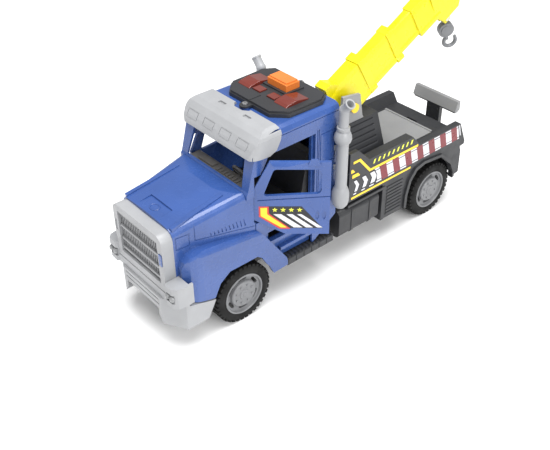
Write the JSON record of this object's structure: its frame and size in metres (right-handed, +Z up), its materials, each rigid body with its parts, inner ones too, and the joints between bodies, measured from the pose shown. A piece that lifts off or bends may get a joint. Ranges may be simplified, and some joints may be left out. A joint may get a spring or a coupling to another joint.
{
  "type": "toy tow truck",
  "caption": "Toy tow truck with opening cab doors, a telescoping lifting boom with a swinging hook, a folding wheel lift, roof push buttons and rolling wheels.",
  "frame": {"origin": "on the ground, midway between the two axles and on the truck's centre plane", "axes": "front of the truck faces -Y, the truck's left side is +X, +Z is up"},
  "size_m": [0.1382, 0.3604, 0.2133],
  "materials": {
    "blue": "smooth gloss, moulded in colour",
    "silver": "satin silver-grey, moulded in colour",
    "grille": "satin",
    "lamp": "gloss",
    "dark_grey": "fine satin",
    "light_grey": "satin",
    "yellow": "smooth gloss",
    "pin_yellow": "gloss",
    "orange": "translucent gloss",
    "red": "translucent gloss",
    "led_red": "gloss",
    "black": "fine satin",
    "board": "satin",
    "cell": "plain wrapped can",
    "steel": "plated",
    "hook_grey": "satin",
    "rubber": "soft matte",
    "rim": "satin silver-grey"
  },
  "bodies": {
    "truck": {"chassis_frame": "dark_grey", "battery_cover": "dark_grey", "chassis_screws": "steel", "batteries": "cell", "battery_contacts": "steel", "front_bumper": "silver", "grille_shell": "silver", "grille_insert": "grille", "headlight_lenses": "lamp", "front_body": "blue", "cab_shell": "blue", "sun_visor": "silver", "roof_screws": "steel", "roof_unit": "dark_grey", "sound_case": "black", "circuit_board": "board", "speaker": "black", "leds": "led_red", "tact_switches": "black", "light_lens_left": "red", "light_lens_right": "red", "exhaust_left": "silver", "exhaust_right": "silver", "dashboard": "light_grey", "cab_seat": "black", "step_left": "dark_grey", "step_right": "dark_grey", "tank_left": "dark_grey", "tank_right": "dark_grey", "bed_body": "dark_grey", "deck_plate": "light_grey", "boom_pedestal": "dark_grey", "boom_bracket_left": "light_grey", "boom_bracket_right": "light_grey", "boom_pin": "pin_yellow", "lift_pin": "steel"},
    "front_wheels": {"front_axle": "steel", "tyre_front_left": "rubber", "tyre_front_right": "rubber", "rim_front_left": "rim", "rim_front_right": "rim"},
    "rear_wheels": {"rear_axle": "steel", "tyre_rear_left": "rubber", "tyre_rear_right": "rubber", "rim_rear_left": "rim", "rim_rear_right": "rim"},
    "door_left": {"door_left": "blue"},
    "door_right": {"door_right": "blue"},
    "boom": {"boom_base": "yellow"},
    "boom_middle": {"boom_middle": "yellow"},
    "boom_tip": {"boom_tip": "yellow", "hook_pin": "steel"},
    "hook_link": {"hook_link": "hook_grey"},
    "hook": {"hook": "hook_grey"},
    "wheel_lift": {"lift_post": "dark_grey", "lift_crossbar": "light_grey"},
    "beacon_button": {"beacon_button": "orange"},
    "siren_button": {"siren_button": "red"},
    "horn_button": {"horn_button": "red"}
  },
  "joints": [
    {"name": "front_axle_spin", "type": "hinge", "parent": "truck", "child": "front_wheels", "pos_m": [0, -0.113, 0.027], "axis": [1, 0, 0], "continuous": true},
    {"name": "rear_axle_spin", "type": "hinge", "parent": "truck", "child": "rear_wheels", "pos_m": [0, 0.113, 0.027], "axis": [1, 0, 0], "continuous": true},
    {"name": "door_left_hinge", "type": "hinge", "parent": "truck", "child": "door_left", "pos_m": [0.037, -0.0943, 0.105], "axis": [0, 0, -1], "range_deg": [-41.5, 18.5]},
    {"name": "door_right_hinge", "type": "hinge", "parent": "truck", "child": "door_right", "pos_m": [-0.037, -0.0943, 0.105], "axis": [0, 0, 1], "range_deg": [0, 60]},
    {"name": "boom_lift", "type": "hinge", "parent": "truck", "child": "boom", "pos_m": [0, 0.031, 0.133], "axis": [1, 0, 0], "range_deg": [-13.5, 25]},
    {"name": "boom_middle_slide", "type": "slide", "parent": "boom", "child": "boom_middle", "axis": [0, 0.8788, 0.4772], "range_m": [-0.016, 0]},
    {"name": "boom_tip_slide", "type": "slide", "parent": "boom_middle", "child": "boom_tip", "axis": [0, 0.8788, 0.4772], "range_m": [-0.024, 0]},
    {"name": "hook_swing", "type": "hinge", "parent": "boom_tip", "child": "hook_link", "pos_m": [0, 0.15926, 0.17237], "axis": [1, 0, 0], "range_deg": [-50, 50]},
    {"name": "hook_swivel", "type": "hinge", "parent": "hook_link", "child": "hook", "pos_m": [0, 0.15926, 0.17237], "axis": [0, -0.4067, 0.9135], "continuous": true},
    {"name": "wheel_lift_fold", "type": "hinge", "parent": "truck", "child": "wheel_lift", "pos_m": [0, 0.1606, 0.04], "axis": [-1, 0, 0], "range_deg": [0, 90]},
    {"name": "beacon_button_press", "type": "slide", "parent": "truck", "child": "beacon_button", "axis": [0, 0, -1], "range_m": [0, 0.0014], "stiffness_N_per_m": 700, "springref_m": -0.0005},
    {"name": "siren_button_press", "type": "slide", "parent": "truck", "child": "siren_button", "axis": [0, 0, -1], "range_m": [0, 0.0014], "stiffness_N_per_m": 500, "springref_m": -0.0005},
    {"name": "horn_button_press", "type": "slide", "parent": "truck", "child": "horn_button", "axis": [0, 0, -1], "range_m": [0, 0.0014], "stiffness_N_per_m": 500, "springref_m": -0.0005}
  ]
}
